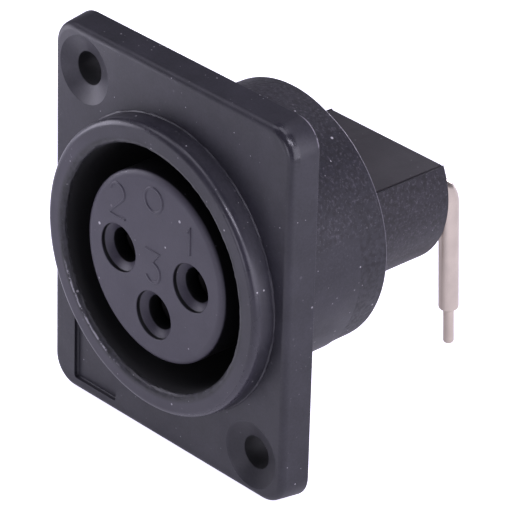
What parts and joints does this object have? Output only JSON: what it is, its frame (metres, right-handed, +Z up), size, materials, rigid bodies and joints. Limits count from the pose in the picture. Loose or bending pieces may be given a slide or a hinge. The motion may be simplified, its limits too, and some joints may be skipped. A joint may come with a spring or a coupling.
{
  "type": "xlr panel socket",
  "caption": "Black panel-mount audio socket: flange with a raised collar, round barrel and flat-topped block behind it, and turned contacts with tails bent down to a board.",
  "frame": {"origin": "centre of the contact insert's front face, on the connector's axis", "axes": "the plug comes from -Y along the axis, +X is to the right seen from the plug, +Z is up and the board tails point to -Z"},
  "size_m": [0.026, 0.0282, 0.031],
  "materials": {
    "shell_plastic": "black moulded plastic, fine satin grain",
    "insert_plastic": "black moulded plastic, satin",
    "lid_plastic": "black moulded plastic, satin",
    "contact_metal": "turned brass, silver-coloured plating, satin"
  },
  "bodies": {
    "root": {"front_shell": "shell_plastic", "contact_insert": "insert_plastic", "rear_lid": "lid_plastic", "contact_1": "contact_metal", "contact_2": "contact_metal", "contact_3": "contact_metal"}
  },
  "joints": []
}
